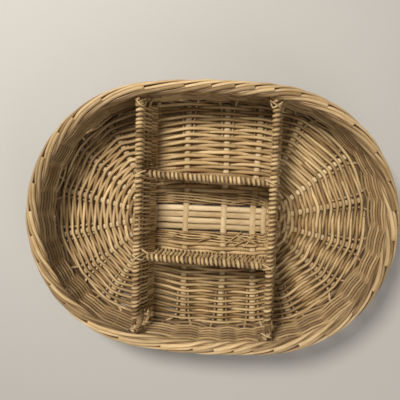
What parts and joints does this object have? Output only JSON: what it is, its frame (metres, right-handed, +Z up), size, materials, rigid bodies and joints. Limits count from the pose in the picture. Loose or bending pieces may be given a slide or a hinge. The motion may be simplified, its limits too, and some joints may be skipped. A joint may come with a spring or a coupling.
{
  "type": "bread basket",
  "caption": "Shallow oval woven willow bread basket with a thick rod border and woven dividers that make five compartments.",
  "frame": {"origin": "under the middle of the basket, on the plane it rests on", "axes": "+Z up out of the basket's mouth, +X along its length towards the end with the smaller compartment gap, +Y across it towards the back"},
  "size_m": [0.4298, 0.318, 0.072],
  "materials": {
    "sticks": "peeled willow sticks, smooth, satin",
    "stakes": "thin peeled willow, satin",
    "base_weavers": "woven peeled willow, satin",
    "wall_weavers": "woven peeled willow, satin",
    "border_rods": "thick peeled willow rods, satin",
    "divider_rods": "peeled willow rods, satin",
    "divider_weavers": "fine woven willow, satin",
    "ties": "thin willow skein, satin"
  },
  "bodies": {
    "root": {"base_long_sticks": "sticks", "base_cross_sticks": "sticks", "side_stakes": "stakes", "base_pairing": "base_weavers", "base_weave": "base_weavers", "upsett_waling": "wall_weavers", "wall_weave": "wall_weavers", "border": "border_rods", "left_divider_rail": "divider_rods", "left_divider_rods": "divider_rods", "right_divider_rail": "divider_rods", "right_divider_rods": "divider_rods", "back_cross_divider_rail": "divider_rods", "back_cross_divider_rods": "divider_rods", "front_cross_divider_rail": "divider_rods", "front_cross_divider_rods": "divider_rods", "left_divider_weave": "divider_weavers", "right_divider_weave": "divider_weavers", "back_cross_divider_weave": "divider_weavers", "front_cross_divider_weave": "divider_weavers", "wall_lashings": "ties", "crossing_ties": "ties"}
  },
  "joints": []
}
